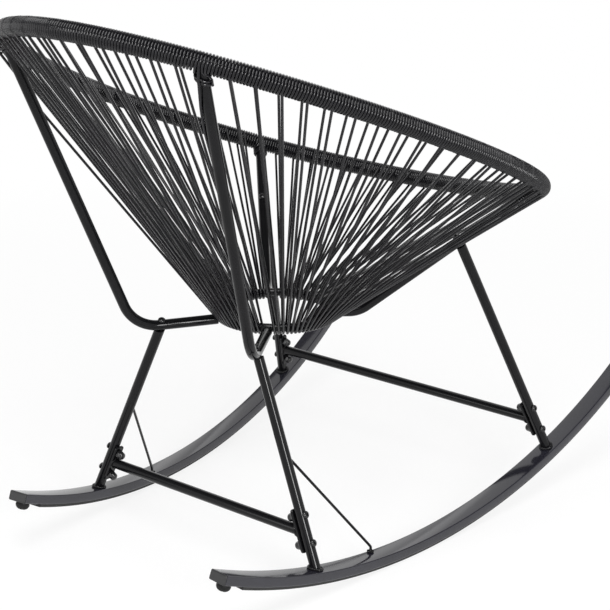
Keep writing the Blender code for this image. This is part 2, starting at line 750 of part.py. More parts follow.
def build_bar_bolts(chair, materials, name, post, post_item, bar_item):
    """The two bolts and cap nuts that hold one end of a crossbar, and their holes."""
    length = TUBE_RADIUS + PLATE_FACE + 2 * TOUCH_GAP + BOLT_IN_NUT
    hole_radius = BOLT_RADIUS + BOLT_CLEARANCE
    for number, point in enumerate(bar_bolt_points(post), 1):
        head = point + post.out * (TUBE_RADIUS + TOUCH_GAP)
        nut = point - post.out * (PLATE_FACE + TOUCH_GAP)
        mesh_data = bmesh.new()
        add_bolt(mesh_data, head, post.out, length)
        add_object(f"crossbar_bolt_{name}_{number}", mesh_data, chair, materials["fastener"], head)
        mesh_data = bmesh.new()
        add_cap_nut(mesh_data, nut, -post.out)
        add_object(f"cap_nut_{name}_{number}", mesh_data, chair, materials["fastener"], nut)
        outside = head + post.out * HEAD_HEIGHT
        inside = nut - post.out * PLATE_THICKNESS
        drill(post_item, f"post_hole_{name}_{number}", chair, outside, inside, hole_radius, BOLT_SIDES)
        drill(bar_item, f"plate_hole_{name}_{number}", chair, point, inside, hole_radius, BOLT_SIDES)


def build_rail(chair, materials, name, rocker):
    """Rocker tube with its plugs, its rubber bumper and the wear strip under it."""
    path = rail_path(rocker)
    mesh_data = bmesh.new()
    outer = carried(path, rounded_box(RAIL_WIDTH, RAIL_HEIGHT, RAIL_CORNER), rocker.across)
    bore_width, bore_height = RAIL_WIDTH - 2 * RAIL_WALL, RAIL_HEIGHT - 2 * RAIL_WALL
    inner = carried(path, rounded_box(bore_width, bore_height, RAIL_BORE_CORNER), rocker.across)
    add_pipe(mesh_data, outer, inner)
    add_object(f"rocker_{name}", mesh_data, chair, materials["rocker"], rocker.at(0, RAIL_TOP))
    build_plug(chair, materials, f"rear_plug_{name}", path[0], path[0] - path[1], rocker)
    build_plug(chair, materials, f"front_plug_{name}", path[-1], path[-1] - path[-2], rocker)
    build_strip(chair, materials, name, rocker)
    build_bumper(chair, materials, name, path, rocker)


def build_plug(chair, materials, name, rail_end, way, rocker):
    """End plug: a stub inside the rocker tube and a flange over its end."""
    way = way.normalized()
    stub_inset = 2 * (RAIL_WALL + PLUG_CLEARANCE)
    stub = rounded_box(RAIL_WIDTH - stub_inset, RAIL_HEIGHT - stub_inset, RAIL_BORE_CORNER)
    flange = rounded_box(RAIL_WIDTH, RAIL_HEIGHT, RAIL_CORNER)
    face = rounded_box(RAIL_WIDTH - RAIL_WALL, RAIL_HEIGHT - RAIL_WALL, RAIL_CORNER)
    rings = []
    for outline, place in (
        (stub, -PLUG_STUB),
        (stub, TOUCH_GAP),
        (flange, TOUCH_GAP),
        (flange, PLUG_FLANGE * PLUG_EDGE),
        (face, PLUG_FLANGE),
    ):
        point = rail_end + way * place
        rings.append(carried([point, point + way], outline, rocker.across)[0])
    mesh_data = bmesh.new()
    add_solid(mesh_data, rings)
    add_object(name, mesh_data, chair, materials["plastic"], rail_end)


def build_strip(chair, materials, name, rocker):
    """Wear strip under the rocker tube, with its lower edges chamfered."""
    half, deep, cut = STRIP_WIDTH / 2, STRIP_HEIGHT / 2, STRIP_CHAMFER
    outline = [
        (-half, deep),
        (half, deep),
        (half, cut - deep),
        (half - cut, -deep),
        (cut - half, -deep),
        (-half, cut - deep),
    ]
    path = rocker.arc(ARC_RADIUS - deep, REAR_ARC + STRIP_INSET, FRONT_ARC - STRIP_INSET)
    mesh_data = bmesh.new()
    upright = [(u, v * rocker.side) for u, v in outline]
    add_solid(mesh_data, carried(path, upright, rocker.across))
    add_object(f"wear_strip_{name}", mesh_data, chair, materials["rubber"], rocker.at(0, ARC_RADIUS))


def build_bumper(chair, materials, name, path, rocker):
    """Tapered rubber bumper under the rocker's rear end."""
    way = (path[1] - path[0]).normalized()
    down = -rocker.normal(REAR_ARC + ARC_STEP / 2)
    seat = path[0] + way * BUMPER_FROM_END + down * (RAIL_HEIGHT / 2 + TOUCH_GAP)
    profile = [
        (0, 0),
        (BUMPER_RADIUS, 0),
        (BUMPER_RADIUS, BUMPER_HEIGHT * BUMPER_BASE),
        (BUMPER_TIP_RADIUS, BUMPER_HEIGHT * BUMPER_SHOULDER[1]),
        (BUMPER_TIP_RADIUS * BUMPER_SHOULDER[0], BUMPER_HEIGHT),
        (0, BUMPER_HEIGHT),
    ]
    mesh_data = bmesh.new()
    add_turned(mesh_data, seat, down, profile, TUBE_SIDES)
    add_object(f"bumper_{name}", mesh_data, chair, materials["rubber"], seat)


def build_stay(chair, materials, name, rocker, post):
    """Thin stay rod from a rear post down to the rocker, where it is upset into a small foot."""
    normal = rocker.normal(ROD_FOOT_ANGLE)
    inboard = rocker.across * ROD_FOOT_INBOARD
    foot = rocker.at(ROD_FOOT_ANGLE, RAIL_TOP) + normal * TOUCH_GAP - inboard
    knee = foot + normal * ROD_FOOT_HEIGHT
    post_length = (post.top - post.foot).length
    middle = post.at(post_length * ROD_UP_POST)
    way = (knee - middle).normalized()
    square = (way - post.up * way.dot(post.up)).normalized()
    path = [middle, knee, foot + normal * (ROD_FOOT_HEIGHT / 3), foot]
    rings = carried(path, circle(ROD_RADIUS, COIL_SIDES), normal)
    foot_rings = carried(path, circle(ROD_FOOT_RADIUS, COIL_SIDES), normal)
    rings[0] = cut_to_plane(rings[0], way, middle + square * (TUBE_RADIUS + TOUCH_GAP), square)
    mesh_data = bmesh.new()
    add_solid(mesh_data, [*rings[:2], *foot_rings[2:]])
    add_object(f"stay_rod_{name}", mesh_data, chair, materials["frame"], middle)


def build_seat(chair, materials, tubes):
    """Rim, cord, lashings and seat ring."""
    sections = rim_sections()
    build_hoop(chair, materials, sections)
    gaps = [build_lashing(chair, materials, name, tube) for name, tube in tubes.items()]
    print(f"least gap between turns of a lashing: {min(gaps) * 1000:.2f} mm")
    ring_path = build_ring(chair, materials)
    whole = 2 * math.pi
    stretches = {
        "front": ("front_right", "front_left", -FRONT_ARM_ANGLE, FRONT_ARM_ANGLE, 2),
        "left": ("front_left", "rear_left", FRONT_ARM_ANGLE, REAR_ARM_ANGLE, 3),
        "rear": ("rear_left", "rear_right", REAR_ARM_ANGLE, whole - REAR_ARM_ANGLE, 2),
        "right": ("rear_right", "front_right", whole - REAR_ARM_ANGLE, whole - FRONT_ARM_ANGLE, 3),
    }
    for name, (first, last, start, end, groups) in stretches.items():
        joints = (tubes[first], tubes[last])
        build_cord(chair, materials, name, sections[name], joints, ring_path, (start, end), groups)


def build_base(chair, materials, tubes):
    """Seat tubes, posts, crossbars, rockers and their fasteners."""
    rockers = {side: Rocker(sign) for side, sign in SIDES.items()}
    for side, rocker in rockers.items():
        build_rail(chair, materials, side, rocker)
    for end in ("rear", "front"):
        posts = {side: Post(end, rockers[side], tubes[f"{end}_{side}"]) for side in SIDES}
        bar_item = build_crossbar(chair, materials, end, posts)
        for side, post in posts.items():
            name = f"{end}_{side}"
            tube_item = build_seat_tube(chair, materials, name, tubes[name])
            post_item = build_post(chair, materials, name, post)
            build_seat_bolt(chair, materials, name, post, (tube_item, post_item))
            build_bar_bolts(chair, materials, name, post, post_item, bar_item)
            if end == "rear":
                build_stay(chair, materials, side, rockers[side], post)


def centre_on_floor(chair):
    """Move the whole chair so that the middle of its footprint is over the origin."""
    corners = []
    for item in bpy.data.objects:
        if item.type == "MESH" and not item.hide_render:
            corners.extend(item.location + Vector(corner) for corner in item.bound_box)
    lowest = [min(corner[axis] for corner in corners) for axis in range(3)]
    highest = [max(corner[axis] for corner in corners) for axis in range(3)]
    chair.location = (
        -(lowest[0] + highest[0]) / 2,
        -(lowest[1] + highest[1]) / 2,
        -lowest[2],
    )


def main():
    clear_scene()
    materials = make_materials()
    chair = bpy.data.objects.new("chair", None)
    bpy.context.scene.collection.objects.link(chair)
    tubes = {}
    for end in ("rear", "front"):
        for name, side in SIDES.items():
            tubes[f"{end}_{name}"] = SeatTube(end, side)
    build_seat(chair, materials, tubes)
    build_base(chair, materials, tubes)
    centre_on_floor(chair)


main()
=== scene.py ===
"""Looks of the string rocking chair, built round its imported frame.

Metres, +Z up, in the frame's own axes: the sitter faces -Y and the sitter's left hand is at +X.
"""

import bisect
import math

import bmesh
import bpy
from mathutils import Matrix, Vector


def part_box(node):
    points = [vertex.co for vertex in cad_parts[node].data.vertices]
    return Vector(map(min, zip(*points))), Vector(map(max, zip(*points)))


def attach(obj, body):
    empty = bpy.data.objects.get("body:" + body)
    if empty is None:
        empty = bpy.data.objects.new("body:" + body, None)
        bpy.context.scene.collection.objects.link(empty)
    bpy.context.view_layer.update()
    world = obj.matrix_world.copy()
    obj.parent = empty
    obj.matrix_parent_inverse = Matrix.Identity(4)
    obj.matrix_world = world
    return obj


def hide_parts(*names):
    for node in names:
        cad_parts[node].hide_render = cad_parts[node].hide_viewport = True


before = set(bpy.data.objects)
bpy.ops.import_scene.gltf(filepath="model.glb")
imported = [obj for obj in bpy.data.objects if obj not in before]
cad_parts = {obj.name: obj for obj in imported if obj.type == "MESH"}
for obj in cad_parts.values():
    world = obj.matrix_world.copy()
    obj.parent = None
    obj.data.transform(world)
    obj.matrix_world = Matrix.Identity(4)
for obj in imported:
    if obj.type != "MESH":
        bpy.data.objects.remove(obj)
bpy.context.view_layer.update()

# Sizes repeated from the part's source
TOUCH_GAP = 0.0003
RIM_WIDTH = 0.720
RIM_LENGTH = 0.827
RIM_EGG = 0.178
RIM_TILT = math.radians(23.3)
RIM_CENTRE_Y = 0.094
RIM_CENTRE_Z = 0.6205
HOOP_RADIUS = 0.009
FRONT_JOINT = math.radians(39.5)
REAR_JOINT = math.radians(145)
PAIR_PITCH = 0.031
PAIR_SPREAD = 0.0065
RING_RADIUS = 0.084
RING_TUBE_RADIUS = 0.006
RING_CENTRE_Y = 0.065
RING_CENTRE_Z = 0.3266
TUBE_RADIUS = 0.0075
REAR_ARM_ANGLE = math.radians(148.4)
REAR_ARM_REACH = 0.2137
REAR_BEND_RADIUS = 0.055
FRONT_ARM_ANGLE = math.radians(47.6)
FRONT_ARM_REACH = 0.1205
FRONT_BEND_RADIUS = 0.045
STRING_TO_ARM = 0.001
ARM_DROP = 0.005
ARC_RADIUS = 0.906
ARC_CENTRE_Y = 0.041
ARC_STEP = math.radians(3)
REAR_ARC = -7.5 * ARC_STEP
FRONT_ARC = 11.5 * ARC_STEP
REAR_TAIL = 0.030
FRONT_TAIL = 0.012
ROCKER_SPACING = 0.470
TOE_OUT = math.radians(6.44)
RAIL_WIDTH = 0.030
RAIL_HEIGHT = 0.014
RAIL_CORNER = 0.0018
STRIP_WIDTH = 0.024
STRIP_HEIGHT = 0.0045
STRIP_CHAMFER = 0.001
STRIP_INSET = math.radians(0.5)
PLUG_FLANGE = 0.0025
BUMPER_RADIUS = 0.0097
BUMPER_HEIGHT = 0.011
BUMPER_FROM_END = 0.013
REAR_POST_ANGLE = math.radians(-12.7)
FRONT_POST_ANGLE = math.radians(20.3)
REAR_SEAT_SETBACK = 0.040
FRONT_SEAT_FROM_RIM = 0.125
BAR_FROM_FOOT = 0.056
BAR_BOLT_SPACING = 0.040
PLATE_LENGTH = 0.062
PLATE_WIDTH = 0.016
PLATE_THICKNESS = 0.004
BOLT_RADIUS = 0.003
HEAD_RADIUS = 0.005
HEAD_HEIGHT = 0.0036
NUT_RADIUS = 0.0054
NUT_HEIGHT = 0.0115
SEAT_BOLT_IN_POST = 0.008
ROD_RADIUS = 0.002
ROD_UP_POST = 0.55
ROD_FOOT_ANGLE = math.radians(-5)
ROD_FOOT_INBOARD = 0.0095
ROD_FOOT_RADIUS = 0.0035
ROD_FOOT_HEIGHT = 0.008

# Finer detail of the looks. The cord is as thick as it looks in the photo, a little under the source's.
# HAND is the way the winding turns, JOINT_PAIR the shift of the pair that straddles a seat tube, and the
# CROSS heights are how far below the rim a string of that pair follows the tube
CORD_RADIUS = 0.00192
CORD_SIDES = 7
LASHING_SIDES = 10
POINTS_PER_TURN = 16
BIGHT_POINTS = 12
HAND = -1
WINDING_PITCH = 0.0039
STRING_MARGIN = 0.017
JOINT_PAIR = -0.0018
CROSS_TOP = 0.060
CROSS_FOOT = 0.100
CROSS_POINTS = 10
OVER_ANGLE = math.radians(106)
LASHING_TURNS = 2
LASHING_PITCH = 0.0040
TUBE_SIDES = 28
RING_SIDES = 20
ROD_SIDES = 16
HEXAGON_SIDES = 30
BEND_STATIONS = 26
ARC_STATIONS = 72
HOOP_STATIONS = 160
RING_STATIONS = 96
RIM_SAMPLES = 5000
PLUG_PROFILE = (
    (0.0022, -0.006),
    (0.0022, 0.0002),
    (0.0004, 0.0002),
    (0, 0.0006),
    (0, 0.0014),
    (0.0003, 0.0020),
    (0.0009, PLUG_FLANGE),
    (0.0030, PLUG_FLANGE),
)
PLATE_CORNER = 0.004
PLATE_EDGE = 0.0008
ROD_BEND_RADIUS = 0.006
WELD_RIPPLES = 22
WELD_STATIONS = 4 * WELD_RIPPLES
POST_WELD_RADIUS = 0.0024
POST_WELD_OUT = 0.0008
POST_WELD_LIFT = 0.0014
BAR_WELD_RADIUS = 0.0016
BAR_WELD_OUT = 0.0006
ROD_WELD_RADIUS = 0.0016
ROD_WELD_LIFT = 0.0012
HEAD_FULLNESS = 1.1
NUT_FULLNESS = 1.18
SHARP_ANGLE = math.radians(38)
CORD_SHARP_ANGLE = math.radians(65)

# Camera fitted to the photo, and the studio. Each lamp has a place, a width, a height and its watts
CAMERA_PLACE = Vector((-1.494, 1.807, 1.083))
CAMERA_AIM = Vector((0.6050, -0.7332, -0.3103))
CAMERA_LENS = 97.4
LAMP_TARGET = Vector((0, 0.1, 0.6))
LAMPS = {
    "key_light": ((-0.98, 1.285, 3.06), 1.4, 2.2, 90),
    "left_light": ((0.95, 2.6, 1.0), 1.4, 1.6, 14),
    "right_light": ((-2.36, 1.18, 1.0), 0.60, 0.85, 42),
    "back_light": ((1.36, -2.38, 1.42), 2.4, 1.2, 3),
    "top_light": ((1.1, -1.5, 2.35), 1.8, 2.2, 12),
}
FLOOR_REACH = 30
FLOOR_DROP = 0.0004

# Each surface: name, colour, factor of its paler patches, roughness, grain, its depth, specular level
SURFACES = {
    "frame": ("powder_coat_black", (0.0035, 0.0035, 0.0040), 1.5, 0.09, 900, 0.00002, 0.20),
    "rocker": ("powder_coat_rocker", (0.012, 0.0118, 0.0165), 1.3, 0.11, 900, 0.00001, 0.55),
    "cord": ("cord_black", (0.0036, 0.0035, 0.0046), 1.25, 0.13, 1400, 0.00002, 0.34),
    "rubber": ("rubber_black", (0.008, 0.008, 0.008), 1.5, 0.60, 700, 0.0002, 0.2),
    "strip": ("rubber_grey", (0.020, 0.020, 0.020), 1.4, 0.65, 700, 0.0002, 0.3),
    "plug": ("plastic_black", (0.015, 0.015, 0.0155), 1.4, 0.45, 800, 0.0001, 0.4),
    "fastener": ("fastener_black", (0.007, 0.007, 0.0075), 1.6, 0.16, 1200, 0.00003, 0.45),
}

UP = Vector((0, 0, 1))
LEFT = Vector((1, 0, 0))
SIDES = {"left": 1, "right": -1}
WRAP_RADIUS = HOOP_RADIUS + TOUCH_GAP + 2 * CORD_RADIUS
TURN_RADIUS = WRAP_RADIUS - CORD_RADIUS
CLASP_RADIUS = TUBE_RADIUS + CORD_RADIUS
FILL = 2 * CORD_RADIUS / WINDING_PITCH
RIM_NORMAL = Vector((0, -math.sin(RIM_TILT), math.cos(RIM_TILT)))
FLOOR_RADIUS = ARC_RADIUS * math.cos(ARC_STEP / 2)
RAIL_BOTTOM = FLOOR_RADIUS - STRIP_HEIGHT - TOUCH_GAP
RAIL_MIDDLE = RAIL_BOTTOM - RAIL_HEIGHT / 2
RAIL_TOP = RAIL_BOTTOM - RAIL_HEIGHT
PLATE_MIDDLE = TUBE_RADIUS + TOUCH_GAP + PLATE_THICKNESS / 2
PLATE_FACE = TUBE_RADIUS + TOUCH_GAP + PLATE_THICKNESS

# The source stands the chair over the origin as its last step, so the seat ring shows how far it was moved
RING_LOW, RING_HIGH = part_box("seat_ring")
SHIFT = Vector((
    (RING_LOW.x + RING_HIGH.x) / 2,
    (RING_LOW.y + RING_HIGH.y) / 2 - RING_CENTRE_Y,
    0,
))
RING_CENTRE = Vector((0, RING_CENTRE_Y, RING_CENTRE_Z)) + SHIFT


class Shape:
    """The vertices and faces of one piece."""

    def __init__(self):
        self.points = []
        self.faces = []

    def skin(self, rows, closed=False):
        """Join rows of points into a closed solid. A closed run of rows joins its last row to its first."""
        start = len(self.points)
        count = len(rows[0])
        for row in rows:
            self.points.extend(row)
        joins = [(index, index + 1) for index in range(len(rows) - 1)]
        if closed:
            joins.append((len(rows) - 1, 0))
        for first, second in joins:
            near = start + first * count
            far = start + second * count
            for index in range(count):
                after = (index + 1) % count
                self.faces.append((near + index, near + after, far + after, far + index))
        if not closed:
            last = start + (len(rows) - 1) * count
            self.faces.append(tuple(reversed(range(start, start + count))))
            self.faces.append(tuple(range(last, last + count)))
        return self

    def sweep(self, path, outline, reference, closed=False, sizes=None):
        return self.skin(carried(path, outline, reference, closed, sizes), closed)

    def tube(self, path, radius, sides=TUBE_SIDES, closed=False, sizes=None):
        first = (path[1] - path[0]).normalized()
        return self.sweep(path, circle(radius, sides), first.orthogonal(), closed, sizes)

    def weld(self, path, radius, sides):
        """A weld bead of uneven thickness round a closed path of WELD_STATIONS points."""
        turns = [2 * math.pi * step / WELD_STATIONS for step in range(WELD_STATIONS)]
        sizes = [
            1 + 0.09 * math.cos(WELD_RIPPLES * a) + 0.16 * math.cos(3 * a + 0.7) + 0.12 * math.cos(5 * a + 2)
            for a in turns
        ]
        return self.tube(path, radius, sides, closed=True, sizes=sizes)

    def turned(self, origin, axis, profile, sides=TUBE_SIDES):
        """A solid turned about an axis, from (radius, height, hexagon share) points."""
        across = axis.orthogonal().normalized()
        along = axis.cross(across)
        rows = []
        for radius, height, hexagon in profile:
            row = []
            for index in range(sides):
                angle = 2 * math.pi * index / sides
                flat = math.cos(math.pi / 6) / math.cos((angle % (math.pi / 3)) - math.pi / 6)
                reach = radius * (1 + hexagon * (flat - 1))
                spoke = across * math.cos(angle) + along * math.sin(angle)
                row.append(origin + axis * height + spoke * reach)
            rows.append(row)
        return self.skin(rows)

    def piece(self, name, material, slot, *nodes, sharp=SHARP_ANGLE):
        """Make the object, let it ride on the chair and stand for its CAD nodes."""
        mesh = bpy.data.meshes.new(name)
        mesh.from_pydata([tuple(point) for point in self.points], [], self.faces)
        work = bmesh.new()
        work.from_mesh(mesh)
        bmesh.ops.recalc_face_normals(work, faces=work.faces)
        work.to_mesh(mesh)
        work.free()
        mesh.shade_smooth()
        mesh.set_sharp_from_angle(angle=sharp)
        mesh.materials.append(material)
        item = bpy.data.objects.new(name, mesh)
        bpy.context.scene.collection.objects.link(item)
        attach(item, "root")
        if nodes:
            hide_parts(*nodes)
        return item


def circle(radius, sides):
    turn = [2 * math.pi * index / sides for index in range(sides)]
    return [(radius * math.cos(a), radius * math.sin(a)) for a in turn]


def rounded_box(width, height, corner, steps=4):
    """Outline of a rectangle with round corners."""
    points = []
    for number, (sign_u, sign_v) in enumerate(((1, 1), (-1, 1), (-1, -1), (1, -1))):
        for step in range(steps + 1):
            angle = math.pi / 2 * (number + step / steps)
            u = sign_u * (width / 2 - corner) + corner * math.cos(angle)
            v = sign_v * (height / 2 - corner) + corner * math.sin(angle)
            points.append((u, v))
    return points


def carried(path, outline, reference, closed=False, sizes=None):
    """Cross-sections of an outline carried along a path, turned as little as possible."""
    count = len(path)
    side = reference
    rows = []
    for index, point in enumerate(path):
        if closed:
            tangent = path[(index + 1) % count] - path[index - 1]
        else:
            tangent = path[min(index + 1, count - 1)] - path[max(index - 1, 0)]
        tangent.normalize()
        side = (side - tangent * side.dot(tangent)).normalized()
        up = tangent.cross(side)
        size = 1 if sizes is None else sizes[index]
        rows.append([point + (side * u + up * v) * size for u, v in outline])
    return rows


def cut_to_plane(row, direction, plane_point, plane_normal):
    """Slide a cross-section's points along a direction until they lie in a plane."""
    slope = direction.dot(plane_normal)
    return [point + direction * ((plane_point - point).dot(plane_normal) / slope) for point in row]


def rounded_corner(start, corner, end, radius):
    """A path from start to end that turns the corner on an arc."""
    arrive = (corner - start).normalized()
    leave = (end - corner).normalized()
    turn = arrive.angle(leave)
    centre = corner + (leave - arrive).normalized() * (radius / math.cos(turn / 2))
    first = corner - arrive * (radius * math.tan(turn / 2))
    axis = arrive.cross(leave).normalized()
    arc = []
    for step in range(BEND_STATIONS + 1):
        swing = Matrix.Rotation(turn * step / BEND_STATIONS, 3, axis)
        arc.append(centre + swing @ (first - centre))
    return [start, *arc, end]


def rim_point(angle):
    """A point on the rim's centreline. Angle 0 is the front, and a quarter turn is the sitter's left."""
    along = RIM_LENGTH / 2 * math.cos(angle)
    across = RIM_WIDTH / 2 * math.sin(angle) * (1 + RIM_EGG * math.cos(angle))
    return SHIFT + Vector((
        across,
        RIM_CENTRE_Y - along * math.cos(RIM_TILT),
        RIM_CENTRE_Z - along * math.sin(RIM_TILT),
    ))


def rim_way(angle):
    """The rim's direction at an angle."""
    back = RIM_LENGTH / 2 * math.sin(angle)
    swell = math.cos(angle) + RIM_EGG * math.cos(2 * angle)
    return Vector((
        RIM_WIDTH / 2 * swell,
        back * math.cos(RIM_TILT),
        back * math.sin(RIM_TILT),
    )).normalized()


class SeatTube:
    """Centreline of one seat frame tube, and where its post meets it."""

    def __init__(self, end, side):
        rear = end == "rear"
        joint = side * (REAR_JOINT if rear else FRONT_JOINT)
        angle = REAR_ARM_ANGLE if rear else FRONT_ARM_ANGLE
        reach = REAR_ARM_REACH if rear else FRONT_ARM_REACH
        radius = REAR_BEND_RADIUS if rear else FRONT_BEND_RADIUS
        outward = Vector((side * math.sin(angle), -math.cos(angle), 0))
        level = RING_CENTRE - UP * ARM_DROP
        self.rim_angle = joint
        self.joint = rim_point(joint)
        self.rim_way = rim_way(joint)
        self.corner = level + outward * reach
        self.arm = (self.corner - self.joint).normalized()
        across = self.rim_way.cross(RIM_NORMAL)
        self.section_angle = math.atan2(self.arm.dot(across), self.arm.dot(RIM_NORMAL))
        self.flat_way = (self.rim_way - self.arm * self.rim_way.dot(self.arm)).normalized()
        self.out = self.arm.cross(self.flat_way)
        inner = level + outward * (RING_RADIUS + RING_TUBE_RADIUS + TOUCH_GAP)
        top = self.joint + self.arm * HOOP_RADIUS
        self.path = rounded_corner(top, self.corner, inner, radius)
        if rear:
            self.seat = self.corner - outward * REAR_SEAT_SETBACK
            self.seat_way = outward
        else:
            self.seat = self.joint + self.arm * FRONT_SEAT_FROM_RIM
            self.seat_way = self.arm

    def let_out(self, point, along, angle):
        """Lead a point of the winding round the tube. A turn that meets the tube lies against its side,
        below the turns before it."""
        turned = math.remainder(angle - self.section_angle, 2 * math.pi)
        down = math.cos(turned)
        if down <= 0:
            return point
        passes = along - HAND * turned / (2 * math.pi) * WINDING_PITCH
        side = 1 if passes > JOINT_PAIR else -1
        pile = max(0, CLASP_RADIUS - side * passes) * FILL
        point = point + self.arm * (pile * down ** 0.75)
        offset = point - self.joint
        reach = offset.dot(self.flat_way)
        wide = abs(offset.dot(self.out))
        needed = math.sqrt(max(0, CLASP_RADIUS ** 2 - wide ** 2))
        share = min(1, max(0, (TURN_RADIUS - wide) / (TURN_RADIUS - CLASP_RADIUS)))
        return point + self.flat_way * (share * (side * max(side * reach, needed) - reach))

    def round_angle(self, point, sign):
        """The angle round the tube at which a string to a point touches it."""
        offset = point - self.joint
        across, out = offset.dot(self.flat_way), offset.dot(self.out)
        return math.atan2(out, across) + sign * math.acos(CLASP_RADIUS / math.hypot(across, out))

    def clasp(self, depth, angle, radius=CLASP_RADIUS):
        """A point of the cord round the tube, at a depth below the rim and an angle round the tube."""
        spoke = self.flat_way * math.cos(angle) + self.out * math.sin(angle)
        return self.joint + self.arm * depth + spoke * radius

    def lashing_depth(self, angle):
        """How far below the rim's centre the lashing starts, close under the turns at the joint."""
        lean = self.rim_way.dot(self.arm)
        rim = (WRAP_RADIUS + lean * CLASP_RADIUS * math.cos(angle)) / math.sqrt(1 - lean ** 2)
        pile = CLASP_RADIUS - WINDING_PITCH - JOINT_PAIR * math.cos(angle)
        return rim + pile * FILL

    def over_lashing(self, turn):
        """A point of a string that passes over a turn of the lashing."""
        depth = self.lashing_depth(OVER_ANGLE) + LASHING_PITCH * (turn + OVER_ANGLE / (2 * math.pi))
        return self.clasp(depth, OVER_ANGLE, CLASP_RADIUS + 2 * CORD_RADIUS)

    def crossing(self, ring_point):
        """A string's way up from the seat ring: against the tube's side, then over the lashing."""
        over = [self.over_lashing(turn) for turn in reversed(range(LASHING_TURNS))]
        first = self.round_angle(ring_point, -1) % (2 * math.pi)
        last = self.round_angle(over[0], 1)
        points = []
        for step in range(CROSS_POINTS + 1):
            share = step / CROSS_POINTS
            depth = CROSS_FOOT + (CROSS_TOP - CROSS_FOOT) * share
            points.append(self.clasp(depth, first + (last - first) * share))
        return [*points, *over]


class Rocker:
    """One rocker's plane and arc."""

    def __init__(self, side):
        self.side = side
        self.ahead = Vector((side * math.sin(TOE_OUT), -math.cos(TOE_OUT), 0))
        self.across = Vector((side * math.cos(TOE_OUT), math.sin(TOE_OUT), 0))
        self.centre = SHIFT + Vector((side * ROCKER_SPACING / 2, ARC_CENTRE_Y, FLOOR_RADIUS))

    def at(self, angle, radius):
        return self.centre + self.ahead * (radius * math.sin(angle)) - UP * (radius * math.cos(angle))

    def normal(self, angle):
        return UP * math.cos(angle) - self.ahead * math.sin(angle)

    def way(self, angle):
        return self.ahead * math.cos(angle) + UP * math.sin(angle)

    def arc(self, radius, first, last):
        turn = (last - first) / ARC_STATIONS
        return [self.at(first + turn * step, radius) for step in range(ARC_STATIONS + 1)]

    def rail(self):
        """Centreline of the rocker tube, with its straight tails."""
        arc = self.arc(RAIL_MIDDLE, REAR_ARC, FRONT_ARC)
        rear = arc[0] - self.way(REAR_ARC) * REAR_TAIL
        front = arc[-1] + self.way(FRONT_ARC) * FRONT_TAIL
        return [rear, *arc, front]


class Post:
    """Centreline of one post, from the rocker's top to the underside of its seat tube."""

    def __init__(self, end, rocker, tube):
        angle = REAR_POST_ANGLE if end == "rear" else FRONT_POST_ANGLE
        self.foot = rocker.at(angle, RAIL_TOP)
        self.foot_normal = rocker.normal(angle)
        self.up = (tube.seat - self.foot).normalized()
        square = self.up - tube.seat_way * self.up.dot(tube.seat_way)
        self.seat_normal = square.normalized()
        self.seat = tube.seat
        self.top = tube.seat - self.up * ((TUBE_RADIUS + TOUCH_GAP) / self.up.dot(self.seat_normal))
        lateral = LEFT * rocker.side
        self.out = (lateral - self.up * lateral.dot(self.up)).normalized()

    def at(self, distance):
        return self.foot + self.up * distance


class Rim:
    """The rim's centreline, measured along its length from the front right seat tube."""

    def __init__(self, tubes):
        turn = 2 * math.pi / RIM_SAMPLES
        self.angles = [turn * step - FRONT_JOINT for step in range(RIM_SAMPLES + 1)]
        points = [rim_point(angle) for angle in self.angles]
        self.distances = [0.0]
        for first, second in zip(points, points[1:]):
            self.distances.append(self.distances[-1] + (second - first).length)
        self.length = self.distances[-1]
        self.joints = {name: self.distance(tube.rim_angle) for name, tube in tubes.items()}
        self.tubes = tubes

    def distance(self, angle):
        """How far along the rim an angle is."""
        share = (angle + FRONT_JOINT) % (2 * math.pi) / (2 * math.pi) * RIM_SAMPLES
        index = min(int(share), RIM_SAMPLES - 1)
        return self.distances[index] + (self.distances[index + 1] - self.distances[index]) * (share - index)

    def at(self, distance):
        """The rim's centre and direction at a distance along it, and the direction outward."""
        distance %= self.length
        index = min(max(bisect.bisect_left(self.distances, distance), 1), RIM_SAMPLES)
        before, after = self.distances[index - 1], self.distances[index]
        share = (distance - before) / (after - before)
        angle = self.angles[index - 1] + (self.angles[index] - self.angles[index - 1]) * share
        way = rim_way(angle)
        return rim_point(angle), way, way.cross(RIM_NORMAL)

    def on_turn(self, distance, angle):
        """A point on the cord's centreline where it lies on the rim."""
        centre, _, across = self.at(distance)
        point = centre + (RIM_NORMAL * math.cos(angle) + across * math.sin(angle)) * TURN_RADIUS
        for name, joint in self.joints.items():
            along = math.remainder(distance - joint, self.length)
            if abs(along) < 2 * CLASP_RADIUS:
                point = self.tubes[name].let_out(point, along, angle)
        return point

    def tangent_angle(self, distance, target, leaves):
        """The turn's angle where a string to a target leaves the rim, or comes onto it."""
        centre, way, across = self.at(distance)
        away = target - centre
        away -= way * away.dot(way)
        middle = math.atan2(away.dot(across), away.dot(RIM_NORMAL))
        swing = HAND * math.acos(TURN_RADIUS / away.length)
        return middle - swing if leaves else middle + swing


